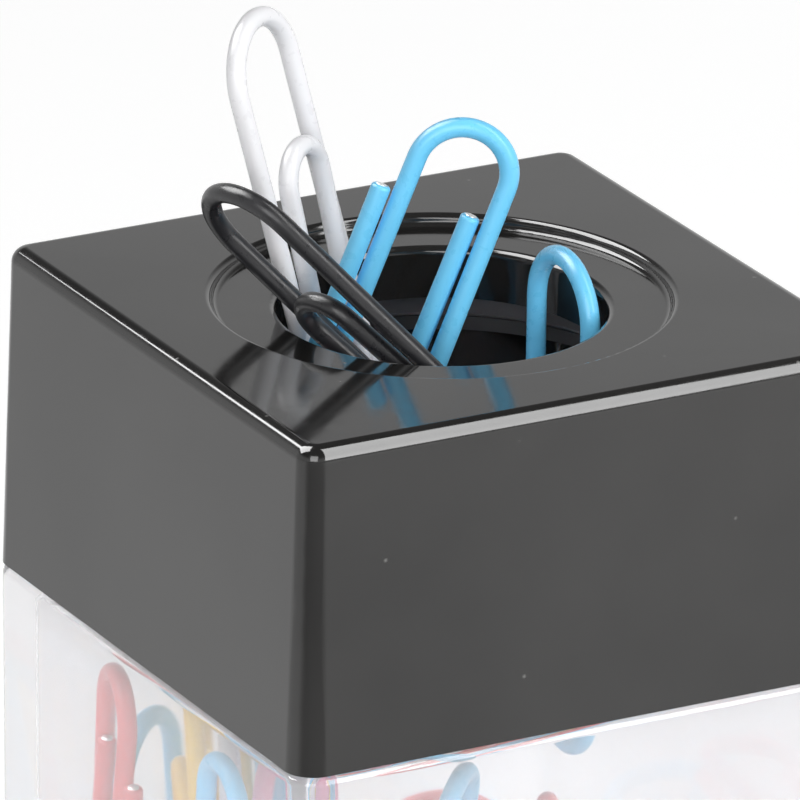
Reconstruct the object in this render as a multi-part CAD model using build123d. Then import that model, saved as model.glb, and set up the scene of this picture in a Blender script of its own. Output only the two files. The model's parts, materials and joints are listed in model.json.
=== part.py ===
from build123d import *
import os
from dataclasses import dataclass

import numpy as np

# Square paper clip holder: a clear box of loose clips under a black push-on lid. The lid's top is a
# shallow dish with a round throat, and a ring magnet under the dish holds clips in the throat.
# Millimetres, +Z up, origin at the centre of the box's underside.

# Outside form
outer_side = 41.1
box_height = 47.0
lid_height = 20.9
parting_gap = 0.15
corner_radius = 1.9

# Clear box
box_wall = 2.6
box_floor = 2.4
box_draft = 0.5
cavity_corner = 1.2
base_edge = 0.6
shoulder_edge = 0.6
foot_width = 3.0
foot_height = 0.6
spigot_height = 6.0
spigot_lead_in = 0.2

# Lid
lid_wall = 1.3
lid_draft = 1.5
lid_plate = 2.2
lid_top_edge = 1.0
lid_fit = 0.15
stop_rib_width = 1.2
stop_rib_spacing = 22.0

# Dish and throat
dish_radius = 14.6
dish_depth = 0.72
dish_rim_width = 0.85
throat_radius = 10.15
throat_edge = 0.5
throat_depth = 3.3

# Magnet under the dish
magnet_radius = 17.2
magnet_bore_radius = 13.4
magnet_thickness = 2.5
magnet_edge = 0.3
magnet_fit = 0.1
pocket_wall = 1.0
retainer_thickness = 0.9
retainer_bore_radius = 13.6
retainer_fit = 0.05

# Coated wire clip: outer loop, return loop and inner tongue
clip_length = 33.0
clip_width = 8.5
wire = 1.25
leg_gap = 0.15
tongue_step = 8.6
free_end_step = 5.9
tongue_lift = 2.5
wire_end_round = 0.25

# Room between clips, and between clips and walls
clip_gap = 0.2
wall_gap = 0.3

# Heap of loose clips: how many lie under and over those that lean, and how each is let down
bottom_clips = 9
top_clips = 14
loose_colours = ("red", "yellow", "blue", "white", "red", "pink", "yellow", "blue", "black", "red")
lying_tilt = 10.0
lying_ceiling = 31.0
leaning_spread = 11.0
leaning_turn = 15.0
leaning_sway = 5.0
rock_angle = 5.0
rock_shift = 0.6
lying_tries = 25
lying_rocks = 100
leaning_tries = 500
push_steps = 80
map_step = 0.3
heap_seed = 108

# Levels
shoulder_z = box_height
rim_z = box_height + parting_gap
top_z = rim_z + lid_height
spigot_top_z = shoulder_z + spigot_height
dish_floor_z = top_z - dish_depth
seat_z = dish_floor_z - throat_depth
magnet_low_z = seat_z - magnet_thickness
retainer_low_z = magnet_low_z - retainer_thickness
plate_low_z = top_z - lid_plate

# Sides worked out from the walls and fits
cavity_side = outer_side - 2 * box_wall
lid_inner_side = outer_side - 2 * lid_wall
spigot_side = lid_inner_side - 2 * lid_fit
pocket_radius = magnet_radius + magnet_fit
box_floor_z = foot_height + box_floor


@dataclass(frozen=True)
class HeldClip:
    """A clip in the throat: where its axis crosses the dish floor, and how it stands there."""

    node: str
    double_loop_up: bool
    shows: float
    inset: float
    bearing: float
    lean: float
    lean_bearing: float
    turn: float


held_clips = (
    HeldClip("black_clip", True, 13.38, 2.33, 200.6, 45.5, 148.2, -81.6),
    HeldClip("white_clip", True, 18.40, 1.54, 126.2, 14.1, 161.9, 36.6),
    HeldClip("blue_clip", False, 12.82, 7.78, 177.9, 21.1, -13.5, -27.2),
    HeldClip("low_blue_clip", True, 2.60, 1.95, -5.0, 0.0, 0.0, -92.0),
)


@dataclass(frozen=True)
class LeaningClip:
    """A loose clip that leans on a wall: the wall's bearing, the place along it, its lean and its turn."""

    colour: str
    wall: float
    along: float
    lean: float
    turn: float


leaning_clips = (
    LeaningClip("blue", 180.0, -15.5, 9.0, -29.0),
    LeaningClip("yellow", 180.0, -14.0, 9.0, -29.0),
    LeaningClip("red", 180.0, -11.5, 10.0, -29.0),
    LeaningClip("yellow", 180.0, -9.0, 12.0, -29.0),
    LeaningClip("blue", 180.0, -7.5, 14.0, -29.0),
    LeaningClip("red", 180.0, -5.5, 12.0, -29.0),
    LeaningClip("white", 180.0, -1.0, 14.0, -29.0),
    LeaningClip("pink", 180.0, 0.0, 14.0, -29.0),
    LeaningClip("red", 270.0, 0.0, 12.0, 60.0),
    LeaningClip("blue", 180.0, 6.0, 13.0, -20.0),
    LeaningClip("blue", 270.0, -4.0, 14.0, 60.0),
    LeaningClip("red", 180.0, -13.0, 17.0, -25.0),
    LeaningClip("yellow", 180.0, 2.0, 17.0, -29.0),
    LeaningClip("pink", 270.0, -9.0, 17.0, 40.0),
    LeaningClip("white", 180.0, -13.0, 14.0, 40.0),
    LeaningClip("blue", 90.0, 8.0, 13.0, 8.0),
)


@dataclass(frozen=True)
class ClipPose:
    """A clip's place: its frame's columns are the clip's width, length and normal."""

    origin: np.ndarray
    frame: np.ndarray

    def points(self):
        """Centreline points in the part's frame."""
        return clip_points @ self.frame.T + self.origin

    def middle(self):
        """The centreline's middle in the part's frame."""
        return self.frame @ clip_middle + self.origin

    def moved(self, step):
        """The same pose moved by a vector."""
        return ClipPose(self.origin + step, self.frame)

    def place(self, shape):
        """The clip's solid at this pose."""
        width, length, normal = (tuple(column) for column in self.frame.T)
        return Plane(origin=tuple(self.origin), x_dir=width, z_dir=normal).location * shape


def turn_about(axis, degrees):
    """Rotation matrix about an axis."""
    x, y, z = np.asarray(axis, float) / np.linalg.norm(axis)
    cross = np.array([[0, -z, y], [z, 0, -x], [-y, x, 0]])
    angle = np.radians(degrees)
    return np.eye(3) + np.sin(angle) * cross + (1 - np.cos(angle)) * cross @ cross


def bearing_vector(degrees):
    """Horizontal unit vector at a bearing from +X towards +Y."""
    angle = np.radians(degrees)
    return np.array([np.cos(angle), np.sin(angle), 0.0])


# Clear box

def drafted_block(side, corner, height, draft, base_z):
    """Square block that narrows by the draft as it leaves base_z, upwards or downwards."""
    sketch = Plane.XY.offset(base_z) * RectangleRounded(side, side, corner)
    return extrude(sketch, amount=abs(height), dir=(0, 0, 1 if height > 0 else -1), taper=draft)


def clear_box():
    body = drafted_block(outer_side, corner_radius, -box_height, box_draft, shoulder_z)
    body = fillet(body.edges().group_by(Axis.Z)[0], base_edge)
    body = fillet(body.edges().group_by(Axis.Z)[-1], shoulder_edge)
    spigot_corner = corner_radius - lid_wall - lid_fit
    spigot = drafted_block(spigot_side, spigot_corner, spigot_height, lid_draft, shoulder_z)
    spigot = chamfer(spigot.faces().sort_by(Axis.Z)[-1].outer_wire().edges(), spigot_lead_in)
    mouth = Plane.XY.offset(shoulder_z) * RectangleRounded(cavity_side, cavity_side, cavity_corner)
    cavity = drafted_block(cavity_side, cavity_corner, box_floor_z - shoulder_z, box_draft, shoulder_z)
    foot_side = outer_side - 2 * (box_height * np.tan(np.radians(box_draft)) + base_edge + foot_width)
    recess = extrude(RectangleRounded(foot_side, foot_side, cavity_corner), amount=foot_height)
    return body + spigot - cavity - extrude(mouth, amount=spigot_height) - recess


# Lid

def dish_and_throat():
    """The space cut from the lid's top: a dish with an S-shaped rim, and the throat with its round edge."""
    floor_radius = dish_radius - dish_rim_width
    middle = (dish_radius - dish_rim_width / 2, top_z - dish_depth / 2)
    above_z = top_z + dish_depth
    below_z = seat_z - dish_depth
    edge_z = dish_floor_z - throat_edge
    outline = [
        Line((0, below_z), (0, above_z)),
        Line((0, above_z), (dish_radius, above_z)),
        Line((dish_radius, above_z), (dish_radius, top_z)),
        TangentArc((dish_radius, top_z), middle, tangent=(-1, 0)),
        TangentArc((floor_radius, dish_floor_z), middle, tangent=(1, 0)),
        Line((floor_radius, dish_floor_z), (throat_radius + throat_edge, dish_floor_z)),
        TangentArc((throat_radius + throat_edge, dish_floor_z), (throat_radius, edge_z), tangent=(-1, 0)),
        Line((throat_radius, edge_z), (throat_radius, below_z)),
        Line((throat_radius, below_z), (0, below_z)),
    ]
    return revolve(Plane.XZ * make_face(outline), Axis.Z)


def ring(outer_radius, inner_radius, low_z, high_z):
    """Flat ring between two levels."""
    face = Plane.XY.offset(low_z) * (Circle(outer_radius) - Circle(inner_radius))
    return extrude(face, amount=high_z - low_z)


def stop_ribs():
    """Ribs on the lid's inner walls, whose ends rest on the spigot's rim."""
    depth = lid_wall + lid_fit + (spigot_side - cavity_side) / 2
    height = plate_low_z - spigot_top_z
    rib = Box(stop_rib_width, depth, height, align=(Align.CENTER, Align.MIN, Align.MIN))
    ribs = []
    for quarter in range(4):
        for side in (-1, 1):
            place = Pos(side * stop_rib_spacing / 2, -outer_side / 2, spigot_top_z)
            ribs.append(Rot(0, 0, 90 * quarter) * place * rib)
    return ribs


def lid_shell():
    outer = drafted_block(outer_side, corner_radius, lid_height, lid_draft, rim_z)
    hollow = drafted_block(lid_inner_side, corner_radius - lid_wall, plate_low_z - rim_z, lid_draft, rim_z)
    ribs = Part() + [rib & outer for rib in stop_ribs()]
    disc = Pos(0, 0, seat_z) * Cylinder(
        pocket_radius + pocket_wall, plate_low_z - seat_z, align=(Align.CENTER, Align.CENTER, Align.MIN))
    pocket = ring(pocket_radius + pocket_wall, pocket_radius, retainer_low_z, seat_z)
    shell = fillet(outer.edges().group_by(Axis.Z)[-1], lid_top_edge) - hollow
    return shell + ribs + disc + pocket - dish_and_throat()


def ring_magnet():
    magnet = ring(magnet_radius, magnet_bore_radius, magnet_low_z, seat_z)
    return chamfer(magnet.edges().filter_by(GeomType.CIRCLE), magnet_edge)


def magnet_retainer():
    return ring(pocket_radius - retainer_fit, retainer_bore_radius, retainer_low_z, magnet_low_z)


# Clips

def clip_path():
    """Centreline of a clip in its own frame: X across, Y along from the return bend, Z off its plane."""
    outer = (clip_width - wire) / 2
    pitch = wire + leg_gap
    outer_y = clip_length - wire / 2 - outer
    return_radius = outer - pitch / 2
    return_y = wire / 2 + return_radius
    inner = outer - pitch
    inner_y = clip_length - wire / 2 - tongue_step - inner
    middle_x = pitch / 2
    half = np.sqrt(0.5) * return_radius

    def lifted(x, y):
        """A point of the tongue, which leaves the clip's plane from the return bend on."""
        along = y - wire / 2
        angle = np.radians(tongue_lift)
        return (x, wire / 2 + along * np.cos(angle), along * np.sin(angle))

    turn = (middle_x, wire / 2, 0)
    before_turn = (middle_x + half, return_y - half, 0)
    after_turn = lifted(middle_x - half, return_y - half)
    return Wire([
        Line((-outer, free_end_step, 0), (-outer, outer_y, 0)).edge(),
        ThreePointArc((-outer, outer_y, 0), (0, outer_y + outer, 0), (outer, outer_y, 0)).edge(),
        Line((outer, outer_y, 0), (outer, return_y, 0)).edge(),
        ThreePointArc((outer, return_y, 0), before_turn, turn).edge(),
        ThreePointArc(turn, after_turn, lifted(-inner, return_y)).edge(),
        Line(lifted(-inner, return_y), lifted(-inner, inner_y)).edge(),
        ThreePointArc(lifted(-inner, inner_y), lifted(0, inner_y + inner), lifted(inner, inner_y)).edge(),
        Line(lifted(inner, inner_y), lifted(inner, free_end_step)).edge(),
    ])


def clip_solid(path):
    """Wire swept along the centreline, with its two cut ends rounded."""
    section = Plane(origin=path @ 0, z_dir=path % 0) * Circle(wire / 2)
    clip = sweep(section, path=path)
    ends = [path @ 0, path @ 1]
    rims = [edge for edge in clip.edges().filter_by(GeomType.CIRCLE)
            if min((edge.arc_center - end).length for end in ends) < wire_end_round]
    return fillet(rims, wire_end_round)


clip_centreline = clip_path()
sample_count = int(clip_centreline.length / (wire / 4))
clip_points = np.array([tuple(clip_centreline @ t) for t in np.linspace(0, 1, sample_count)])
clip_middle = clip_points.mean(axis=0)


# Held clips

def held_pose(clip):
    """Stand a clip in the throat as its own line in the list says."""
    tilt = turn_about(np.cross((0, 0, 1), bearing_vector(clip.lean_bearing)), clip.lean)
    axis = tilt @ (0, 0, 1)
    side = tilt @ bearing_vector(clip.turn)
    length = axis if clip.double_loop_up else -axis
    frame = np.stack([side, length, np.cross(side, length)], axis=1)
    top = (0, clip_length, 0) if clip.double_loop_up else ((wire + leg_gap) / 2, 0, 0)
    crossing = (throat_radius - clip.inset) * bearing_vector(clip.bearing) + (0, 0, dish_floor_z)
    return ClipPose(crossing + clip.shows * axis - frame @ top, frame)


def throat_shortfall(points):
    """How much room a clip lacks at the throat's wall or the magnet's bore, and the way outwards there."""
    radius = np.hypot(points[:, 0], points[:, 1])
    height = points[:, 2]
    reach = wire / 2 + clip_gap
    in_throat = (height < dish_floor_z + reach) & (height > seat_z - reach)
    in_bore = (height <= seat_z) & (height > retainer_low_z - reach)
    allowed = np.where(in_throat, throat_radius, np.where(in_bore, magnet_bore_radius, np.inf))
    short = radius + wire / 2 + clip_gap / 2 - allowed
    worst = short.argmax()
    return short[worst], points[worst] * (1, 1, 0) / radius[worst]


def pushed_clear(pose, others):
    """A pose moved level, away from the clips and walls that it comes too near."""
    for step in range(push_steps):
        points = pose.points()
        push = np.zeros(3)
        for other in others:
            apart = points[:, None] - other[None]
            distance = np.linalg.norm(apart, axis=2)
            mine, theirs = np.unravel_index(distance.argmin(), distance.shape)
            short = wire + clip_gap - distance[mine, theirs]
            if short > 0:
                level = apart[mine, theirs] * (1, 1, 0)
                push += level / np.linalg.norm(level) * max(short, clip_gap / 4)
        short, outwards = throat_shortfall(points)
        if short > 0:
            push -= outwards * short
        if not push.any():
            break
        pose = pose.moved(push)
    return pose


def hold_clips():
    """Poses of the held clips, each pushed clear of the throat and of those before it."""
    poses = []
    for clip in held_clips:
        poses.append(pushed_clear(held_pose(clip), [pose.points() for pose in poses]))
    return poses


# Heap of loose clips

class Heap:
    """Loose clips in the box, with a map of the places that the next clip's centreline can't take."""

    def __init__(self, held):
        self.random = np.random.default_rng(heap_seed)
        self.half = cavity_side / 2 - (shoulder_z - box_floor_z) * np.tan(np.radians(box_draft))
        self.low = np.array([-self.half, -self.half, 0.0])
        span = np.array([2 * self.half, 2 * self.half, shoulder_z])
        self.size = np.ceil(span / map_step).astype(int) + 1
        self.taken = np.zeros(self.size, bool)
        self.placed = []
        self.block(held[held[:, 2] < shoulder_z])

    def cells(self, points):
        """Cells of the map that hold some points."""
        return ((points - self.low) / map_step).round().astype(int)

    def block(self, points):
        """Mark the cells too near a centreline."""
        reach = wire + clip_gap + map_step / 2
        span = np.arange(-int(reach / map_step), int(reach / map_step) + 1)
        ball = np.stack(np.meshgrid(span, span, span), axis=-1).reshape(-1, 3)
        ball = ball[np.linalg.norm(ball * map_step, axis=1) < reach]
        for cell in self.cells(points):
            near = cell + ball
            inside = ((near >= 0) & (near < self.size)).all(axis=1)
            self.taken[tuple(near[inside].T)] = True

    def drop(self, frame, place, ceiling):
        """Put a clip as near a place as the walls allow, at its lowest free level; None without room."""
        points = clip_points @ frame.T
        room = self.half - wire / 2 - wall_gap / 2
        least = -room - points.min(axis=0)[:2]
        most = room - points.max(axis=0)[:2]
        floor = box_floor_z + wire / 2 + clip_gap / 2 - points[:, 2].min()
        levels = int((ceiling - wire / 2 - points[:, 2].max() - floor) / map_step)
        if (least > most).any() or levels < 1:
            return None
        x, y = np.clip(place - clip_middle @ frame.T[:, :2], least, most)
        column, row, level = self.cells(points + (x, y, floor)).T
        blocked = self.taken[column, row, level + np.arange(levels)[:, None]].any(axis=1)
        if blocked.all():
            return None
        return ClipPose(np.array([x, y, floor + blocked.argmin() * map_step]), frame)

    def settle(self, colour, draw, tries, rocks, ceiling):
        """Drop a clip many times over, keep the lowest try, and rock it down further in small steps."""
        poses = [pose for pose in (self.drop(*draw(), ceiling) for attempt in range(tries)) if pose]
        if not poses:
            return
        best = min(poses, key=lambda pose: pose.middle()[2])
        for attempt in range(rocks):
            turn = turn_about(self.random.normal(size=3), self.random.normal(scale=rock_angle))
            place = best.middle()[:2] + self.random.normal(scale=rock_shift, size=2)
            pose = self.drop(turn @ best.frame, place, ceiling)
            if pose and pose.middle()[2] < best.middle()[2]:
                best = pose
        self.block(best.points())
        self.placed.append((colour, best))

    def lying(self):
        """A nearly flat clip anywhere over the floor."""
        tilt_x, tilt_y = self.random.normal(scale=lying_tilt, size=2)
        frame = turn_about((1, 0, 0), tilt_x) @ turn_about((0, 1, 0), tilt_y)
        frame = turn_about((0, 0, 1), self.random.uniform(0, 360)) @ frame
        return frame, self.random.uniform(-self.half, self.half, size=2)

    def leaning(self, item):
        """A steep clip beside its wall, with its upper end towards the wall."""
        outward = bearing_vector(item.wall)
        level = np.cross((0, 0, 1), outward)
        upright = turn_about((1, 0, 0), 90) @ turn_about((0, 0, 1), self.random.choice([0, 180]))
        turned = turn_about((0, 0, 1), item.wall + 90 + item.turn + self.random.normal(scale=leaning_turn))
        tilt = turn_about(outward, self.random.normal(scale=leaning_sway))
        lean = turn_about(level, item.lean + self.random.normal(scale=leaning_sway))
        frame = tilt @ lean @ turned @ upright
        off_wall = self.random.uniform(0, leaning_spread)
        along = item.along + self.random.normal(scale=wire)
        return frame, (outward * (self.half - off_wall) + level * along)[:2]


def heap_clips(held):
    """Loose clips in three drops: a bottom layer, those that lean on the walls, and a few on top."""
    heap = Heap(np.concatenate([pose.points() for pose in held]))

    def lay(count):
        for index in range(count):
            colour = loose_colours[index % len(loose_colours)]
            heap.settle(colour, heap.lying, lying_tries, lying_rocks, lying_ceiling)

    lay(bottom_clips)
    for item in leaning_clips:
        heap.settle(item.colour, lambda: heap.leaning(item), leaning_tries, 0, shoulder_z - wall_gap)
    lay(top_clips)
    return heap.placed


def build():
    nodes = {
        "clear_box": clear_box(),
        "lid_shell": lid_shell(),
        "ring_magnet": ring_magnet(),
        "magnet_retainer": magnet_retainer(),
    }
    clip = clip_solid(clip_centreline)
    held = hold_clips()
    for item, pose in zip(held_clips, held):
        nodes[item.node] = pose.place(clip)
    counts = {}
    for colour, pose in heap_clips(held):
        counts[colour] = counts.get(colour, 0) + 1
        nodes[f"loose_{colour}_clip_{counts[colour]:02d}"] = pose.place(clip)
    return nodes


os.makedirs("parts", exist_ok=True)
for node, shape in build().items():
    export_step(shape, f"parts/{node}.step")
    print(node, round(shape.volume, 2))
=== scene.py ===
"""A magnetic paper clip holder: clear box, gloss black lid with a magnet in it, and coated wire clips.

Lengths are in metres, written as millimetres times MM where they are small, and angles are in degrees.
"""

import json
import logging
import math
from dataclasses import dataclass
from enum import Enum

import bmesh
import bpy
import numpy as np
from mathutils import Matrix, Vector


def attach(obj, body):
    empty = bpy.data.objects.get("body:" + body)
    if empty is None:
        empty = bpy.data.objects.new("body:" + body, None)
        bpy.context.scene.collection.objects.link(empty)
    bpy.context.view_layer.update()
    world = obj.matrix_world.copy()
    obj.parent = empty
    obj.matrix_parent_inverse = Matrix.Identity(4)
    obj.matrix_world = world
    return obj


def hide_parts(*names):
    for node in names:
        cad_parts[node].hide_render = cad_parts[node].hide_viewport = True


LOG = logging.getLogger("clip_holder")
MM = 0.001
IMAGE_SIDE = 800
SENSOR_WIDTH = 36.0
LID_TOP = 68.05 * MM
SHARP_ANGLE = 38.0
WELD = 0.002 * MM
SLIVER = 0.0005 * MM
UNIT_RANGE = (0.0, 1.0)
NOISE_RANGE = (0.3, 0.7)

Colour = tuple[float, float, float]
Triple = tuple[float, float, float]
Range = tuple[float, float]
Socket = bpy.types.NodeSocket
Inputs = dict[str | int, object]

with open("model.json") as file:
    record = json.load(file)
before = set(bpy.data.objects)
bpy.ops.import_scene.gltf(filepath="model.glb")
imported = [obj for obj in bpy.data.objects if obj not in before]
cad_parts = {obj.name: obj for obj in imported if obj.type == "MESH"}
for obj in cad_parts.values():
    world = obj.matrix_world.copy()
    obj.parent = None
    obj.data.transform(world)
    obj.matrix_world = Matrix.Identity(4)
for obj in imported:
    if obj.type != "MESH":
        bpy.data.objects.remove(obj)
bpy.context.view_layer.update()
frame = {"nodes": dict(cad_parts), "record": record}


class Body(Enum):
    """Bodies that the mouldings ride on."""

    BOX = "box"
    LID = "lid"


class Slot(Enum):
    """Names for the mouldings' material slots, which nothing here uses."""

    CLEAR = "clear_plastic"
    BLACK = "black_plastic"


class ClipColour(Enum):
    """Colours of the clips' vinyl coats."""

    RED = "red"
    YELLOW = "yellow"
    BLUE = "blue"
    WHITE = "white"
    PINK = "pink"
    BLACK = "black"

    @property
    def slot(self) -> str:
        """A name for this coat's material slot, which nothing here uses."""
        return self.value + "_vinyl"


class Graph:
    """A node tree, with short calls for the nodes used here."""

    def __init__(self, tree: bpy.types.NodeTree) -> None:
        """Work on a tree."""
        self.tree = tree

    def add(self, kind: str, inputs: Inputs | None = None, **settings: object) -> bpy.types.Node:
        """Add a node.

        Args:
            kind: The node's type.
            inputs: A socket or a constant for each of its inputs, by name or place.
            settings: Properties to set on it.

        Returns:
            The new node.
        """
        node = self.tree.nodes.new(kind)
        for key, value in settings.items():
            setattr(node, key, value)
        for key, value in (inputs or {}).items():
            self.feed(node.inputs[key], value)
        return node

    def feed(self, target: Socket, value: object) -> None:
        """Give an input its value.

        Args:
            target: The input.
            value: A socket to join to it, or a constant.
        """
        if isinstance(value, Socket):
            self.tree.links.new(value, target)
        else:
            target.default_value = value

    def math(self, operation: str, first: object, second: object = 0.0) -> Socket:
        """The result of a Math node on two sockets or numbers."""
        return self.add("ShaderNodeMath", {0: first, 1: second}, operation=operation).outputs["Value"]

    def pick(self, factor: Socket, first: object, second: object) -> Socket:
        """A value that goes from the first to the second as the factor goes from 0 to 1."""
        return self.add("ShaderNodeMix", {0: factor, 2: first, 3: second}).outputs[0]

    def span(self, value: Socket, source: Range, target: Range, **settings: object) -> Socket:
        """Map one range to another, with the ends held.

        Args:
            value: The value to map.
            source: The ends of its range.
            target: What those ends become.
            settings: Properties of the node.

        Returns:
            The mapped value.
        """
        ends = {"From Min": source[0], "From Max": source[1], "To Min": target[0], "To Max": target[1]}
        return self.add("ShaderNodeMapRange", {"Value": value, **ends}, **settings).outputs["Result"]


class Surface(Graph):
    """A material's tree, with patterns on the piece's own coordinates."""

    spot_core = 0.2
    choice_blur = 0.04

    def __init__(self, name: str) -> None:
        """Start a material with one Principled shader.

        Args:
            name: The material's name.
        """
        self.material = bpy.data.materials.new(name)
        self.material.use_nodes = True
        super().__init__(self.material.node_tree)
        self.shader = self.tree.nodes["Principled BSDF"]
        self.place = self.add("ShaderNodeTexCoord").outputs["Object"]

    def set(self, **values: object) -> None:
        """Set the shader's inputs, named with underscores for spaces, to sockets or constants."""
        for key, value in values.items():
            self.feed(self.shader.inputs[key.replace("_", " ")], value)

    def noise(self, scale: float, detail: float, stretch: Triple | None = None) -> Socket:
        """Soft noise over the piece.

        Args:
            scale: Features per metre.
            detail: Levels of finer noise.
            stretch: Factors along the axes, if it isn't even.

        Returns:
            A value about 0.5.
        """
        place = self.place
        if stretch:
            place = self.add("ShaderNodeMapping", {"Vector": place, "Scale": stretch}).outputs["Vector"]
        inputs = {"Vector": place, "Scale": scale, "Detail": detail}
        return self.add("ShaderNodeTexNoise", inputs).outputs["Fac"]

    def specks(self, scale: float, size: float, share: float) -> Socket:
        """Small soft spots, such as dust, of which only some cells hold one.

        Args:
            scale: Cells per metre.
            size: A spot's radius as a share of its cell.
            share: How many of the cells hold a spot.

        Returns:
            1 inside a spot and 0 outside.
        """
        cells = self.add("ShaderNodeTexVoronoi", {"Vector": self.place, "Scale": scale})
        draw = self.add("ShaderNodeSeparateColor", {"Color": cells.outputs["Color"]}).outputs["Red"]
        chosen = self.span(draw, (1.0 - share, 1.0 - share + self.choice_blur), UNIT_RANGE)
        spot = self.span(cells.outputs["Distance"], (size * self.spot_core, size), (1.0, 0.0))
        return self.math("MULTIPLY", chosen, spot)

    def mix(self, factor: Socket, first: Socket | Colour, second: Colour) -> Socket:
        """A colour between two others.

        Args:
            factor: 0 for the first, 1 for the second.
            first: A colour or a colour socket.
            second: A colour.

        Returns:
            The mixed colour.
        """
        start = first if isinstance(first, Socket) else (*first, 1.0)
        inputs = {0: factor, 6: start, 7: (*second, 1.0)}
        return self.add("ShaderNodeMix", inputs, data_type="RGBA").outputs[2]

    def tones(self, pattern: Socket, colour: Colour, contrast: Range) -> Socket:
        """A colour that a pattern multiplies by a range of factors."""
        return self.mix(pattern, shaded(colour, contrast[0]), shaded(colour, contrast[1]))

    def bump(self, height: Socket, depth: float) -> None:
        """Roughen the surface by a pattern of heights, of a depth in metres."""
        self.set(Normal=self.add("ShaderNodeBump", {"Height": height, "Distance": depth}).outputs["Normal"])


def shaded(colour: Colour, factor: float) -> Colour:
    """A colour with its channels multiplied by a factor."""
    return tuple(min(channel * factor, 1.0) for channel in colour)


@dataclass(frozen=True)
class GlossBlackFinish:
    """Mirror-moulded black plastic with a faint film and a little dust on it."""

    colour: Colour = (0.0125, 0.012, 0.0115)
    refraction: float = 1.6
    roughness: Range = (0.07, 0.12)
    gloss_scale: float = 900.0
    film_contrast: Range = (0.6, 1.4)
    film_scale: float = 75.0
    dust: Colour = (0.13, 0.13, 0.125)
    dust_roughness: float = 0.3
    speck_scale: float = 420.0
    speck_size: float = 0.075
    speck_share: float = 0.35
    wave_scale: float = 70.0
    wave_depth: float = 0.02 * MM

    def material(self) -> bpy.types.Material:
        """Build the material.

        Returns:
            The finished material.
        """
        surface = Surface("gloss_black_plastic")
        film = surface.span(surface.noise(self.film_scale, detail=4.0), NOISE_RANGE, UNIT_RANGE)
        speck = surface.specks(self.speck_scale, self.speck_size, self.speck_share)
        base = surface.tones(film, self.colour, self.film_contrast)
        gloss = surface.span(surface.noise(self.gloss_scale, detail=4.0), NOISE_RANGE, self.roughness)
        dull = surface.math("MULTIPLY", speck, self.dust_roughness)
        surface.set(Base_Color=surface.mix(speck, base, self.dust), IOR=self.refraction)
        surface.set(Roughness=surface.math("MAXIMUM", gloss, dull))
        surface.bump(surface.noise(self.wave_scale, detail=0.0), self.wave_depth)
        return surface.material


@dataclass(frozen=True)
class ClearFinish:
    """Hazy clear polystyrene with faint flow marks.

    The body bends light little, so that the far wall doesn't turn dark, and a coat gives it its gloss.
    """

    tint: Colour = (0.88, 0.878, 0.892)
    contrast: Range = (1.0, 1.02)
    cloud_scale: float = 60.0
    roughness: Range = (0.03, 0.08)
    haze_scale: float = 240.0
    haze_range: Range = (0.35, 0.7)
    clearness: float = 0.82
    refraction: float = 1.22
    surface_gloss: float = 0.6
    surface_refraction: float = 1.5
    surface_roughness: float = 0.03
    flow_scale: float = 70.0
    flow_stretch: Triple = (1.0, 1.0, 0.35)
    flow_depth: float = 0.02 * MM

    def material(self) -> bpy.types.Material:
        """Build the material.

        Returns:
            The finished material.
        """
        surface = Surface("clear_polystyrene")
        cloud = surface.noise(self.cloud_scale, detail=2.0)
        haze = surface.noise(self.haze_scale, detail=3.0)
        surface.set(Base_Color=surface.tones(cloud, self.tint, self.contrast))
        surface.set(Roughness=surface.span(haze, self.haze_range, self.roughness))
        surface.set(IOR=self.refraction, Transmission_Weight=self.clearness)
        surface.set(Coat_Weight=self.surface_gloss, Coat_IOR=self.surface_refraction)
        surface.set(Coat_Roughness=self.surface_roughness)
        flow = surface.noise(self.flow_scale, detail=1.0, stretch=self.flow_stretch)
        surface.bump(flow, self.flow_depth)
        return surface.material


@dataclass(frozen=True)
class VinylFinish:
    """A satin vinyl coat on a bent wire."""

    name: str
    colour: Colour
    mottle: float = 0.04
    mottle_scale: float = 170.0
    refraction: float = 1.5
    roughness: Range = (0.24, 0.4)
    satin_scale: float = 1500.0
    grain_scale: float = 1100.0
    grain_depth: float = 0.006 * MM

    def material(self) -> bpy.types.Material:
        """Build the material.

        Returns:
            The finished material.
        """
        surface = Surface(self.name)
        cloud = surface.span(surface.noise(self.mottle_scale, detail=3.0), NOISE_RANGE, UNIT_RANGE)
        satin = surface.noise(self.satin_scale, detail=3.0)
        surface.set(Base_Color=surface.tones(cloud, self.colour, (1.0 - self.mottle, 1.0 + self.mottle)))
        surface.set(Roughness=surface.span(satin, NOISE_RANGE, self.roughness), IOR=self.refraction)
        surface.bump(surface.noise(self.grain_scale, detail=2.0), self.grain_depth)
        return surface.material


@dataclass(frozen=True)
class SteelFinish:
    """The sheared end of a steel wire."""

    colour: Colour = (0.78, 0.78, 0.78)
    contrast: Range = (0.8, 1.2)
    roughness: Range = (0.3, 0.5)
    mark_scale: float = 2600.0
    mark_stretch: Triple = (1.0, 6.0, 1.0)
    mark_depth: float = 0.01 * MM

    def material(self) -> bpy.types.Material:
        """Build the material.

        Returns:
            The finished material.
        """
        surface = Surface("sheared_steel")
        marks = surface.noise(self.mark_scale, detail=2.0, stretch=self.mark_stretch)
        surface.set(Base_Color=surface.tones(marks, self.colour, self.contrast), Metallic=1.0)
        surface.set(Roughness=surface.span(marks, NOISE_RANGE, self.roughness))
        surface.bump(marks, self.mark_depth)
        return surface.material


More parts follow.
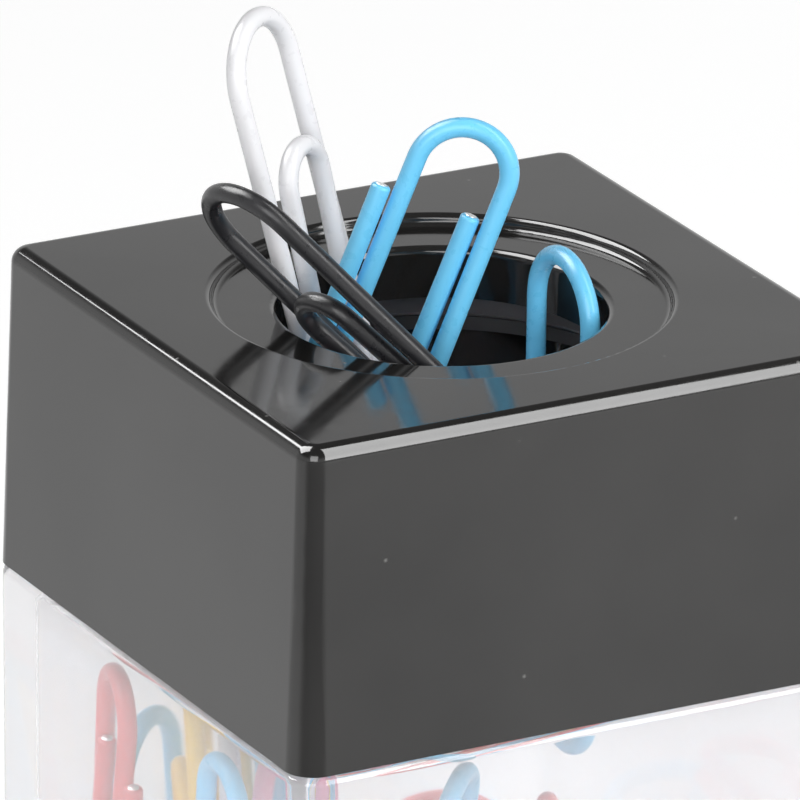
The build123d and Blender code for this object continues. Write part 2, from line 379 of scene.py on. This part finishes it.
@dataclass(frozen=True)
class FerriteFinish:
    """Ground ceramic magnet, dark grey, with fine pits painted as dark spots of shade."""

    colour: Colour = (0.075, 0.075, 0.08)
    contrast: Range = (0.7, 1.4)
    roughness: Range = (0.45, 0.7)
    grain_scale: float = 1400.0
    painted_pit_shade: float = 0.4
    pit_scale: float = 900.0
    pit_size: float = 0.3
    pit_share: float = 0.14
    grinding_scale: float = 1100.0
    grinding_stretch: Triple = (1.0, 5.0, 1.0)
    grinding_depth: float = 0.03 * MM

    def material(self) -> bpy.types.Material:
        """Build the material.

        Returns:
            The finished material.
        """
        surface = Surface("ground_ferrite")
        grain = surface.noise(self.grain_scale, detail=5.0)
        pit_shadow_spots = surface.specks(self.pit_scale, self.pit_size, self.pit_share)
        base = surface.tones(grain, self.colour, self.contrast)
        # Painted shade: the pits are only darker spots of colour, standing in for the shade inside small
        # pits.
        surface.set(Base_Color=surface.mix(pit_shadow_spots, base, shaded(self.colour, self.painted_pit_shade)))
        surface.set(Roughness=surface.span(grain, NOISE_RANGE, self.roughness))
        grinding = surface.noise(self.grinding_scale, detail=3.0, stretch=self.grinding_stretch)
        surface.bump(grinding, self.grinding_depth)
        return surface.material


@dataclass(frozen=True)
class MattePlasticFinish:
    """Black plastic from a spark-eroded mould."""

    colour: Colour = (0.03, 0.03, 0.031)
    contrast: Range = (0.8, 1.3)
    roughness: Range = (0.5, 0.68)
    grain_scale: float = 1800.0
    grain_depth: float = 0.02 * MM

    def material(self) -> bpy.types.Material:
        """Build the material.

        Returns:
            The finished material.
        """
        surface = Surface("matte_black_plastic")
        grain = surface.noise(self.grain_scale, detail=3.0)
        surface.set(Base_Color=surface.tones(grain, self.colour, self.contrast))
        surface.set(Roughness=surface.span(grain, NOISE_RANGE, self.roughness))
        surface.bump(grain, self.grain_depth)
        return surface.material


VINYLS = {
    ClipColour.RED: VinylFinish("red_vinyl_coat", (0.68, 0.05, 0.055)),
    ClipColour.YELLOW: VinylFinish("yellow_vinyl_coat", (0.86, 0.55, 0.05)),
    ClipColour.BLUE: VinylFinish("blue_vinyl_coat", (0.16, 0.6, 0.92)),
    ClipColour.WHITE: VinylFinish("white_vinyl_coat", (0.78, 0.78, 0.8), mottle=0.01),
    ClipColour.PINK: VinylFinish("pink_vinyl_coat", (0.8, 0.27, 0.42)),
    ClipColour.BLACK: VinylFinish("black_vinyl_coat", (0.016, 0.016, 0.018)),
}


def merged_copy(node: str, name: str) -> bpy.types.Object:
    """A welded, smooth-shaded copy of a CAD node's mesh.

    Args:
        node: The CAD node.
        name: The copy's name.

    Returns:
        The new object, at the origin.
    """
    mesh = frame["nodes"][node].data.copy()
    mesh.materials.clear()
    work = bmesh.new()
    work.from_mesh(mesh)
    bmesh.ops.remove_doubles(work, verts=work.verts[:], dist=WELD)
    bmesh.ops.dissolve_degenerate(work, edges=work.edges[:], dist=SLIVER)
    bmesh.ops.recalc_face_normals(work, faces=work.faces[:])
    limit = math.radians(SHARP_ANGLE)
    for edge in work.edges:
        edge.smooth = edge.calc_face_angle(0.0) < limit
    for face in work.faces:
        face.smooth = True
        face.material_index = 0
    if "custom_normal" in mesh.attributes:
        mesh.attributes.remove(mesh.attributes["custom_normal"])
    work.to_mesh(mesh)
    work.free()
    piece = placed(name, mesh)
    weighted = piece.modifiers.new("weighted", "WEIGHTED_NORMAL")
    weighted.keep_sharp = True
    weighted.weight = 100
    return plain(piece)


def placed(name: str, data: bpy.types.ID) -> bpy.types.Object:
    """Put an object in the scene, at the origin.

    Args:
        name: Its name.
        data: Its mesh, curve, lamp or camera.

    Returns:
        The new object.
    """
    made = bpy.data.objects.new(name, data)
    bpy.context.scene.collection.objects.link(made)
    return made


def plain(piece: bpy.types.Object) -> bpy.types.Object:
    """Turn an object and its modifiers into a plain mesh object.

    Args:
        piece: The object, which is removed.

    Returns:
        A mesh object of the same name with no modifiers.
    """
    graph = bpy.context.evaluated_depsgraph_get()
    graph.update()
    mesh = bpy.data.meshes.new_from_object(piece.evaluated_get(graph))
    name = piece.name
    bpy.data.objects.remove(piece)
    mesh.name = name
    return placed(name, mesh)


@dataclass(frozen=True)
class ClearBox:
    """The clear box with its spigot and foot."""

    node: str = "clear_box"
    finish: ClearFinish = ClearFinish()

    def build(self) -> bpy.types.Object:
        """Make the box, which throws no shadow on the clips in it.

        Returns:
            The finished piece.
        """
        piece = merged_copy(self.node, "box_moulding")
        piece.data.materials.append(self.finish.material())
        piece.visible_shadow = False
        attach(piece, Body.BOX.value)
        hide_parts(self.node)
        return piece


@dataclass(frozen=True)
class TurnedTop:
    """The lid's dish and throat, whose rounded edges are turned about Z and so have known normals."""

    dish_radius: float = 14.6 * MM
    dish_depth: float = 0.72 * MM
    rim_width: float = 0.85 * MM
    throat_radius: float = 10.15 * MM
    throat_edge: float = 0.5 * MM
    tolerance: float = 0.004 * MM

    @property
    def dish_floor(self) -> float:
        """The height of the dish's floor."""
        return LID_TOP - self.dish_depth

    def arcs(self) -> list[tuple[float, float, float, int]]:
        """The rounded edges in section.

        Returns:
            For each its centre's distance from the axis, that centre's height, its radius, and 1 where it
            bulges or -1 where it is hollow.
        """
        rim = ((self.rim_width / 2) ** 2 + (self.dish_depth / 2) ** 2) / self.dish_depth
        edge = self.throat_edge
        return [
            (self.dish_radius, LID_TOP - rim, rim, 1),
            (self.dish_radius - self.rim_width, self.dish_floor + rim, rim, -1),
            (self.throat_radius + edge, self.dish_floor - edge, edge, 1),
        ]

    def normal(self, point: Vector) -> Vector | None:
        """The true normal at a point of a rounded edge.

        Args:
            point: A point of the lid.

        Returns:
            The normal, or nothing for a point that is elsewhere.
        """
        distance = math.hypot(point.x, point.y)
        for centre, height, radius, side in self.arcs():
            inward = side * (centre - distance)
            upward = side * (point.z - height)
            near = abs(math.hypot(inward, upward) - radius) < self.tolerance
            if near and min(inward, upward) > -self.tolerance:
                lean = -inward / distance
                return Vector((point.x * lean, point.y * lean, upward)).normalized()
        return None

    def smooth(self, lid: bpy.types.Object) -> None:
        """Give a lid's rounded edges their true normals.

        Args:
            lid: The lid's mesh object, at the origin.
        """
        mesh = lid.data
        known = {vertex.index: self.normal(vertex.co) for vertex in mesh.vertices}
        corners = zip(mesh.loops, mesh.corner_normals)
        mesh.normals_split_custom_set([known[loop.vertex_index] or corner.vector for loop, corner in corners])


@dataclass(frozen=True)
class MagneticLid:
    """The push-on lid, with the ring magnet that its retainer holds under the dish."""

    shell: str = "lid_shell"
    magnet: str = "ring_magnet"
    retainer: str = "magnet_retainer"
    turned: TurnedTop = TurnedTop()
    shell_finish: GlossBlackFinish = GlossBlackFinish()
    magnet_finish: FerriteFinish = FerriteFinish()
    retainer_finish: MattePlasticFinish = MattePlasticFinish()

    def build(self) -> list[bpy.types.Object]:
        """Make the lid's shell, and dress the two pieces in it.

        Returns:
            The shell, the magnet and the retainer.
        """
        piece = merged_copy(self.shell, "lid_moulding")
        self.turned.smooth(piece)
        piece.data.materials.append(self.shell_finish.material())
        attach(piece, Body.LID.value)
        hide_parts(self.shell)
        magnet = self.dress(self.magnet, self.magnet_finish.material())
        retainer = self.dress(self.retainer, self.retainer_finish.material())
        return [piece, magnet, retainer]

    def dress(self, node: str, material: bpy.types.Material) -> bpy.types.Object:
        """Give a CAD node its finish.

        Args:
            node: The CAD node.
            material: Its material.

        Returns:
            The node's object.
        """
        carried = frame["nodes"][node]
        for place in carried.material_slots:
            place.material = material
        return carried


class ClipInput(Enum):
    """Inputs of the tree that turns a path into a clip."""

    PATH = "Geometry"
    COAT_RADIUS = "Coat Radius"
    CORE_RADIUS = "Core Radius"
    END_ROUND = "End Round"
    SIDES = "Sides"
    COAT = "Coat"
    CORE = "Core"


@dataclass(frozen=True)
class BentWire:
    """A paper clip's wire, in its own frame: X across, Y along from the return bend, Z off its plane."""

    length: float = 33.0 * MM
    width: float = 8.5 * MM
    wire: float = 1.25 * MM
    leg_gap: float = 0.15 * MM
    tongue_step: float = 8.6 * MM
    free_end_step: float = 5.9 * MM
    tongue_lift: float = 2.5
    end_round: float = 0.25 * MM
    core_radius: float = 0.37 * MM
    core_proud: float = 0.015 * MM
    sides: int = 20
    steps: int = 14

    def knots(self) -> list[tuple[Vector, Vector, Vector]]:
        """Points of the centreline, with the handles of the curve through them.

        Each corner is a place, a heading, and the bend's radius before and after it, or 0 by a straight run.

        Returns:
            For each knot its place, and the handles before and after it.
        """
        outer = (self.width - self.wire) / 2
        pitch = self.wire + self.leg_gap
        outer_y = self.length - self.wire / 2 - outer
        bend = outer - pitch / 2
        bend_y = self.wire / 2 + bend
        inner = outer - pitch
        inner_y = self.length - self.wire / 2 - self.tongue_step - inner
        end_y = self.free_end_step
        round_y = end_y + self.end_round
        up, down = Vector((0, 1, 0)), Vector((0, -1, 0))
        right, left = Vector((1, 0, 0)), Vector((-1, 0, 0))
        loop = [
            (Vector((-outer, end_y, 0)), up, 0.0, 0.0),
            (Vector((-outer, round_y, 0)), up, 0.0, 0.0),
            (Vector((-outer, outer_y, 0)), up, 0.0, outer),
            (Vector((0, outer_y + outer, 0)), right, outer, outer),
            (Vector((outer, outer_y, 0)), down, outer, 0.0),
            (Vector((outer, bend_y, 0)), down, 0.0, bend),
            (Vector((pitch / 2, self.wire / 2, 0)), left, bend, bend),
        ]
        tongue = [
            (Vector((-inner, bend_y, 0)), up, bend, 0.0),
            (Vector((-inner, inner_y, 0)), up, 0.0, inner),
            (Vector((0, inner_y + inner, 0)), right, inner, inner),
            (Vector((inner, inner_y, 0)), down, inner, 0.0),
            (Vector((inner, round_y, 0)), down, 0.0, 0.0),
            (Vector((inner, end_y, 0)), down, 0.0, 0.0),
        ]
        corners = loop + tongue
        places = [corner[0] for corner in corners]
        found = []
        for index, (place, heading, before, after) in enumerate(corners):
            back = self.handle(before, (place - places[max(index - 1, 0)]).length)
            ahead = self.handle(after, (places[min(index + 1, len(places) - 1)] - place).length)
            knot = (place, place - heading * back, place + heading * ahead)
            found.append(knot if index < len(loop) else tuple(self.lifted(point) for point in knot))
        return found

    def handle(self, radius: float, chord: float) -> float:
        """A handle's length beside a bend of a radius or, where that is 0, a straight run of a length."""
        quarter_turn = 4.0 / 3.0 * (math.sqrt(2.0) - 1.0)
        return radius * quarter_turn if radius else chord / 3.0

    def lifted(self, point: Vector) -> Vector:
        """A point of the tongue, which leaves the clip's plane from the return bend on.

        Args:
            point: The point in the clip's plane.

        Returns:
            The lifted point.
        """
        angle = math.radians(self.tongue_lift)
        along = point.y - self.wire / 2
        return Vector((point.x, self.wire / 2 + along * math.cos(angle), along * math.sin(angle)))

    def path(self, name: str) -> bpy.types.Object:
        """The centreline as a curve.

        Args:
            name: The object's name.

        Returns:
            The curve object.
        """
        curve = bpy.data.curves.new(name, "CURVE")
        curve.dimensions = "3D"
        curve.resolution_u = self.steps
        knots = self.knots()
        spline = curve.splines.new("BEZIER")
        spline.bezier_points.add(len(knots) - 1)
        for point, (place, before, after) in zip(spline.bezier_points, knots):
            point.handle_left_type = "FREE"
            point.handle_right_type = "FREE"
            point.co = place
            point.handle_left = before
            point.handle_right = after
        return placed(name, curve)


class ClipTree(Graph):
    """Geometry Nodes that sweep a coat along a path and put the wire's bare core in its two ends."""

    def __init__(self, wire: BentWire) -> None:
        """Build the tree.

        Args:
            wire: The clip's sizes, used as the inputs' defaults.
        """
        super().__init__(bpy.data.node_groups.new("coated_wire", "GeometryNodeTree"))
        self.wire = wire
        self.identifiers: dict[ClipInput, str] = {}
        self.declare()
        self.inlet = self.add("NodeGroupInput")
        self.wire_up()

    def declare(self) -> None:
        kinds = {
            ClipInput.PATH: ("NodeSocketGeometry", None),
            ClipInput.COAT_RADIUS: ("NodeSocketFloat", self.wire.wire / 2),
            ClipInput.CORE_RADIUS: ("NodeSocketFloat", self.wire.core_radius),
            ClipInput.END_ROUND: ("NodeSocketFloat", self.wire.end_round),
            ClipInput.SIDES: ("NodeSocketInt", self.wire.sides),
            ClipInput.COAT: ("NodeSocketMaterial", None),
            ClipInput.CORE: ("NodeSocketMaterial", None),
        }
        for key, (kind, value) in kinds.items():
            socket = self.tree.interface.new_socket(key.value, in_out="INPUT", socket_type=kind)
            self.identifiers[key] = socket.identifier
            if value is not None:
                socket.default_value = value
        self.tree.interface.new_socket("Geometry", in_out="OUTPUT", socket_type="NodeSocketGeometry")

    def given(self, key: ClipInput) -> Socket:
        """The socket of one of the tree's inputs."""
        return self.inlet.outputs[key.value]

    def swell(self) -> Socket:
        """The coat's radius along the path, rounded off at both ends.

        Returns:
            The radius at each point.
        """
        end_round = self.given(ClipInput.END_ROUND)
        along = self.add("GeometryNodeSplineParameter").outputs["Length"]
        total = self.add("GeometryNodeSplineLength").outputs["Length"]
        rest = self.math("MINIMUM", along, self.math("SUBTRACT", total, along))
        short = self.math("MAXIMUM", self.math("SUBTRACT", end_round, rest), 0.0)
        square = self.math("MULTIPLY", end_round, end_round)
        left = self.math("SUBTRACT", square, self.math("MULTIPLY", short, short))
        rise = self.math("SQRT", self.math("MAXIMUM", left, 0.0))
        inset = self.math("SUBTRACT", end_round, rise)
        return self.math("SUBTRACT", self.given(ClipInput.COAT_RADIUS), inset)

    def wire_up(self) -> None:
        """Build the coat, the bare ends and the output."""
        path = self.add("GeometryNodeResampleCurve", {"Curve": self.given(ClipInput.PATH)}, mode="EVALUATED")
        centreline = path.outputs["Curve"]
        gathered = self.add("GeometryNodeJoinGeometry", {"Geometry": self.bare_ends(centreline)})
        self.feed(gathered.inputs["Geometry"], self.coat(centreline))
        smooth = self.add("GeometryNodeSetShadeSmooth", {"Geometry": gathered.outputs["Geometry"]})
        self.add("NodeGroupOutput", {"Geometry": smooth.outputs["Geometry"]})

    def coat(self, path: Socket) -> Socket:
        """The vinyl coat, swept along the path.

        Args:
            path: The clip's centreline.

        Returns:
            The coat.
        """
        sized = self.add("GeometryNodeSetCurveRadius", {"Curve": path, "Radius": self.swell()})
        ring = self.add("GeometryNodeCurvePrimitiveCircle", {"Radius": 1.0})
        self.feed(ring.inputs["Resolution"], self.given(ClipInput.SIDES))
        swept = self.add("GeometryNodeCurveToMesh", {"Curve": sized.outputs["Curve"], "Fill Caps": True})
        self.feed(swept.inputs["Profile Curve"], ring.outputs["Curve"])
        self.feed(swept.inputs["Scale"], self.add("GeometryNodeInputRadius").outputs["Radius"])
        return self.painted(swept.outputs["Mesh"], ClipInput.COAT)

    def bare_ends(self, path: Socket) -> Socket:
        """The wire's core, seen in both cut ends.

        Args:
            path: The clip's centreline.

        Returns:
            The two core ends.
        """
        disc = self.add("GeometryNodeMeshCylinder", {"Vertices": self.wire.sides})
        self.feed(disc.inputs["Radius"], self.given(ClipInput.CORE_RADIUS))
        self.feed(disc.inputs["Depth"], 2 * self.wire.core_proud)
        tangent = self.add("GeometryNodeInputTangent").outputs["Tangent"]
        aim = self.add("FunctionNodeAlignRotationToVector", {"Vector": tangent})
        copies = self.add("GeometryNodeInstanceOnPoints", {"Points": path, "Instance": disc.outputs["Mesh"]})
        ends = self.add("GeometryNodeCurveEndpointSelection")
        self.feed(copies.inputs["Selection"], ends.outputs["Selection"])
        self.feed(copies.inputs["Rotation"], aim.outputs["Rotation"])
        real = self.add("GeometryNodeRealizeInstances", {"Geometry": copies.outputs["Instances"]})
        return self.painted(real.outputs["Geometry"], ClipInput.CORE)

    def painted(self, geometry: Socket, key: ClipInput) -> Socket:
        """Geometry with the material of one of the inputs."""
        inputs = {"Geometry": geometry, "Material": self.given(key)}
        return self.add("GeometryNodeSetMaterial", inputs).outputs["Geometry"]

    def sweep(self, name: str, coat: bpy.types.Material, core: bpy.types.Material) -> bpy.types.Object:
        """Make a clip in its own frame.

        Args:
            name: The object's name.
            coat: The coat's material.
            core: The bare ends' material.

        Returns:
            A plain mesh object.
        """
        path = self.wire.path(name)
        modifier = path.modifiers.new("coated_wire", "NODES")
        modifier.node_group = self.tree
        modifier[self.identifiers[ClipInput.COAT]] = coat
        modifier[self.identifiers[ClipInput.CORE]] = core
        return plain(path)


@dataclass(frozen=True)
class ReferencePose:
    """Where the low blue clip stands upright in the throat."""

    node: str = "low_blue_clip"
    turned: TurnedTop = TurnedTop()
    inset: float = 1.95 * MM
    bearing: float = -5.0
    turn: float = -92.0
    shows: float = 2.6 * MM

    def matrix(self, length: float) -> Matrix:
        """The pose as a matrix.

        Args:
            length: The clip's length.

        Returns:
            The matrix from the clip's own frame.
        """
        bearing = math.radians(self.bearing)
        turn = math.radians(self.turn)
        side = Vector((math.cos(turn), math.sin(turn), 0))
        upward = Vector((0, 0, 1))
        reach = self.turned.throat_radius - self.inset
        foot = self.turned.dish_floor + self.shows - length
        origin = Vector((reach * math.cos(bearing), reach * math.sin(bearing), foot))
        turned = Matrix((side, upward, side.cross(upward))).transposed().to_4x4()
        return Matrix.Translation(origin) @ turned


class ClipSet:
    """All the clips: four held in the throat and the loose ones in the box."""

    tolerance = 0.05 * MM

    def __init__(self, wire: BentWire, reference: ReferencePose) -> None:
        """Prepare the sweep.

        Args:
            wire: The clips' sizes.
            reference: The pose of the clip that the others are measured from.
        """
        self.reference = reference.node
        self.rest = reference.matrix(wire.length)
        self.tree = ClipTree(wire)
        self.core = SteelFinish().material()
        self.swept: dict[ClipColour, bpy.types.Mesh] = {}

    def nodes(self) -> list[str]:
        """The names of the CAD nodes that are clips."""
        return sorted(name for name in frame["nodes"] if "_clip" in name)

    def colour(self, node: str) -> ClipColour:
        """The colour in a clip's name."""
        return next(colour for colour in ClipColour if colour.value in node.split("_"))

    def points(self, node: str) -> np.ndarray:
        """A CAD node's vertices.

        Args:
            node: The node.

        Returns:
            One row for each vertex, in metres.
        """
        mesh = frame["nodes"][node].data
        found = np.empty(len(mesh.vertices) * 3)
        mesh.vertices.foreach_get("co", found)
        return found.reshape(-1, 3)

    def pose(self, node: str) -> tuple[Matrix, float]:
        """The turn and shift that take the reference clip to another clip.

        Args:
            node: The other clip's node.

        Returns:
            The clip's pose, and the largest distance left between the two meshes in metres.
        """
        source = self.points(self.reference)
        target = self.points(node)
        if source.shape != target.shape:
            return self.rest, math.inf
        source_middle, target_middle = source.mean(axis=0), target.mean(axis=0)
        left, _, right = np.linalg.svd((source - source_middle).T @ (target - target_middle))
        flip = np.diag((1.0, 1.0, np.sign(np.linalg.det(left @ right))))
        turn = (left @ flip @ right).T
        shift = target_middle - turn @ source_middle
        miss = float(np.linalg.norm(source @ turn.T + shift - target, axis=1).max())
        motion = Matrix(turn.tolist()).to_4x4()
        motion.translation = Vector(shift.tolist())
        return motion @ self.rest, miss

    def coat(self, colour: ClipColour) -> bpy.types.Mesh:
        """The swept mesh of one colour, made once.

        Args:
            colour: The coat's colour.

        Returns:
            The mesh in the clip's own frame.
        """
        if colour not in self.swept:
            made = self.tree.sweep("swept_" + colour.value, VINYLS[colour].material(), self.core)
            self.swept[colour] = made.data
            bpy.data.objects.remove(made)
        return self.swept[colour]

    def build(self) -> list[bpy.types.Object]:
        """Make every clip at its place.

        Returns:
            The clips.
        """
        carried = frame["record"]["behaviour"]["bodies"]
        bodies = {node: body for body, nodes in carried.items() for node in nodes}
        made = []
        for node in self.nodes():
            colour = self.colour(node)
            piece = self.swept_clip(node, colour)
            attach(piece, bodies[node])
            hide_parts(node)
            made.append(piece)
        return made

    def swept_clip(self, node: str, colour: ClipColour) -> bpy.types.Object:
        """Put a swept clip where a CAD node is, or dress a copy of the node if the two don't match.

        Args:
            node: The CAD node.
            colour: The coat's colour.

        Returns:
            The clip, at the origin.
        """
        name = node + "_wire"
        matrix, miss = self.pose(node)
        swept = self.coat(colour)
        if miss > self.tolerance:
            LOG.warning("%s: the swept clip misses its node, which is copied", node)
            piece = merged_copy(node, name)
            piece.data.materials.append(swept.materials[0])
            return piece
        mesh = swept.copy()
        mesh.name = name
        mesh.transform(matrix)
        return placed(name, mesh)


@dataclass(frozen=True)
class Softbox:
    """A soft lamp that faces the holder."""

    name: str
    direction: Triple
    distance: float
    width: float
    height: float
    radiance: float
    long_side: Triple = (0.0, 0.0, 1.0)
    lights_dull: bool = True

    def build(self, target: Vector) -> None:
        """Put the lamp in the scene.

        Args:
            target: The point it faces.
        """
        lamp = bpy.data.lights.new(self.name, "AREA")
        lamp.shape = "RECTANGLE"
        lamp.size = self.width
        lamp.size_y = self.height
        lamp.energy = self.radiance * math.pi * self.width * self.height
        holder = placed(self.name, lamp)
        away = Vector(self.direction).normalized()
        across = Vector(self.long_side).cross(away).normalized()
        turned = Matrix((across, away.cross(across), away)).transposed().to_4x4()
        holder.matrix_world = Matrix.Translation(target + away * self.distance) @ turned
        holder.visible_diffuse = self.lights_dull


@dataclass(frozen=True)
class Studio:
    """A pale floor under a white surround with soft lamps."""

    floor_side: float = 3.0
    floor_drop: float = 0.1 * MM
    floor_colour: Colour = (0.8, 0.8, 0.8)
    seen_colour: Colour = (0.5, 0.5, 0.5)
    seen_glow: float = 0.68
    dip_glow: float = 0.0
    dip_angles: Range = (55.0, 25.0)
    front: Triple = (-0.481, -0.877, 0.0)
    low_light: float = 0.86
    high_light: float = 0.14
    light_heights: Range = (0.25, 0.55)
    lamp_target: Triple = (0.0, 0.0, 60.0 * MM)
    lamps: tuple[Softbox, ...] = (
        Softbox("front_strip", direction=(0.45, -0.6, 0.66), distance=0.55, width=0.12, height=0.82,
                radiance=7.8, long_side=(0.0, 0.68, 0.73)),
        Softbox("back_lamp", direction=(-0.4, 0.48, 0.78), distance=0.6, width=0.46, height=0.46,
                radiance=11.0, lights_dull=False),
        Softbox("left_fill", direction=(-0.55, -0.75, 0.4), distance=0.8, width=0.5, height=0.5,
                radiance=4.3),
    )

    def build(self) -> None:
        """Put the floor, the surround and the lamps in the scene."""
        self.floor()
        self.surround()
        for lamp in self.lamps:
            lamp.build(Vector(self.lamp_target))

    def seen(self, graph: Graph) -> Socket:
        """Whether a ray comes from the camera, a mirror or clear plastic.

        Args:
            graph: The node tree to add to.

        Returns:
            1 for such a ray.
        """
        ray = graph.add("ShaderNodeLightPath").outputs
        mirrored = graph.math("MAXIMUM", ray["Is Camera Ray"], ray["Is Glossy Ray"])
        return graph.math("MAXIMUM", mirrored, ray["Is Transmission Ray"])

    def front_dip(self, graph: Graph) -> Socket:
        """The floor's glow, which mirrors see dimmer on the viewer's side.

        Args:
            graph: The node tree to add to.

        Returns:
            The glow's strength.
        """
        place = graph.add("ShaderNodeTexCoord").outputs["Object"]
        heading = graph.add("ShaderNodeVectorMath", {0: place}, operation="NORMALIZE").outputs["Vector"]
        facing = graph.add("ShaderNodeVectorMath", {0: heading, 1: self.front}, operation="DOT_PRODUCT")
        edges = tuple(math.cos(math.radians(angle)) for angle in self.dip_angles)
        glows = (self.seen_glow, self.dip_glow)
        dip = graph.span(facing.outputs["Value"], edges, glows, interpolation_type="SMOOTHSTEP")
        mirrored = graph.add("ShaderNodeLightPath").outputs["Is Glossy Ray"]
        return graph.pick(mirrored, self.seen_glow, dip)

    def floor(self) -> None:
        """A pale floor that looks white but keeps a shadow."""
        half = self.floor_side / 2
        corners = [(-half, -half, 0), (half, -half, 0), (half, half, 0), (-half, half, 0)]
        mesh = bpy.data.meshes.new("floor")
        mesh.from_pydata(corners, [], [(0, 1, 2, 3)])
        plate = placed("floor", mesh)
        plate.location = (0, 0, -self.floor_drop)
        material = bpy.data.materials.new("pale_floor")
        material.use_nodes = True
        nodes = material.node_tree.nodes
        nodes.remove(nodes["Principled BSDF"])
        graph = Graph(material.node_tree)
        dull = graph.add("ShaderNodeBsdfDiffuse", {"Color": (*self.floor_colour, 1.0)}).outputs["BSDF"]
        lit = graph.add("ShaderNodeBsdfDiffuse", {"Color": (*self.seen_colour, 1.0)}).outputs["BSDF"]
        glow = graph.add("ShaderNodeEmission", {"Strength": self.front_dip(graph)}).outputs["Emission"]
        both = graph.add("ShaderNodeAddShader", {0: lit, 1: glow}).outputs["Shader"]
        chosen = graph.add("ShaderNodeMixShader", {0: self.seen(graph), 1: dull, 2: both}).outputs["Shader"]
        graph.feed(nodes["Material Output"].inputs["Surface"], chosen)
        mesh.materials.append(material)

    def surround(self) -> None:
        """A surround that looks white, and lights the holder brightly from low down and dimly from above."""
        world = bpy.data.worlds.new("surround")
        bpy.context.scene.world = world
        world.use_nodes = True
        graph = Graph(world.node_tree)
        place = graph.add("ShaderNodeTexCoord").outputs["Generated"]
        height = graph.add("ShaderNodeSeparateXYZ", {"Vector": place}).outputs["Z"]
        lights = (self.low_light, self.high_light)
        ramp = graph.span(height, self.light_heights, lights, interpolation_type="SMOOTHSTEP")
        ray = graph.add("ShaderNodeLightPath").outputs
        direct = graph.math("MAXIMUM", ray["Is Camera Ray"], ray["Is Transmission Ray"])
        back = world.node_tree.nodes["Background"]
        graph.feed(back.inputs["Strength"], graph.pick(direct, ramp, 1.0))
        graph.feed(back.inputs["Color"], (1.0, 1.0, 1.0, 1.0))


@dataclass(frozen=True)
class Viewpoint:
    """The camera: where it stands, and what it points at."""

    azimuth: float = -28.75
    elevation: float = 20.5
    roll: float = -0.8
    distance: float = 774.0 * MM
    pixels_per_mm: float = 16.3
    centre: Triple = (0.0, 0.0, LID_TOP)
    centre_pixel: tuple[float, float] = (442.0, 294.0)
    far: float = 20.0

    def build(self) -> None:
        """Put the camera in the scene."""
        azimuth, elevation = math.radians(self.azimuth), math.radians(self.elevation)
        level = math.cos(elevation)
        back = Vector((math.sin(azimuth) * level, -math.cos(azimuth) * level, math.sin(elevation)))
        right = Vector((math.cos(azimuth), math.sin(azimuth), 0))
        upward = back.cross(right)
        roll = math.radians(self.roll)
        image_right = right * math.cos(roll) - upward * math.sin(roll)
        image_up = right * math.sin(roll) + upward * math.cos(roll)
        scale = MM / self.pixels_per_mm
        offset_x = (IMAGE_SIDE / 2 - self.centre_pixel[0]) * scale
        offset_y = (self.centre_pixel[1] - IMAGE_SIDE / 2) * scale
        centre = Vector(self.centre)
        place = centre + back * self.distance
        aim = centre + image_right * offset_x + image_up * offset_y
        depth = (place - aim).normalized()
        across = image_up.cross(depth).normalized()
        above = depth.cross(across)
        camera = bpy.data.cameras.new("viewpoint")
        camera.sensor_width = SENSOR_WIDTH
        camera.lens = self.pixels_per_mm * self.distance / MM * SENSOR_WIDTH / IMAGE_SIDE
        camera.clip_end = self.far
        holder = placed("viewpoint", camera)
        turned = Matrix((across, above, depth)).transposed().to_4x4()
        holder.matrix_world = Matrix.Translation(place) @ turned
        bpy.context.scene.camera = holder


def main() -> None:
    """Build the holder, its stage and its camera."""
    logging.basicConfig(level=logging.INFO)
    bpy.context.scene.view_settings.view_transform = "Standard"
    pieces = [ClearBox().build()]
    pieces += MagneticLid().build()
    pieces += ClipSet(BentWire(), ReferencePose()).build()
    for piece in pieces:
        LOG.info("%s: %d faces", piece.name, len(piece.data.polygons))
    Studio().build()
    Viewpoint().build()


if __name__ == "__main__":
    main()
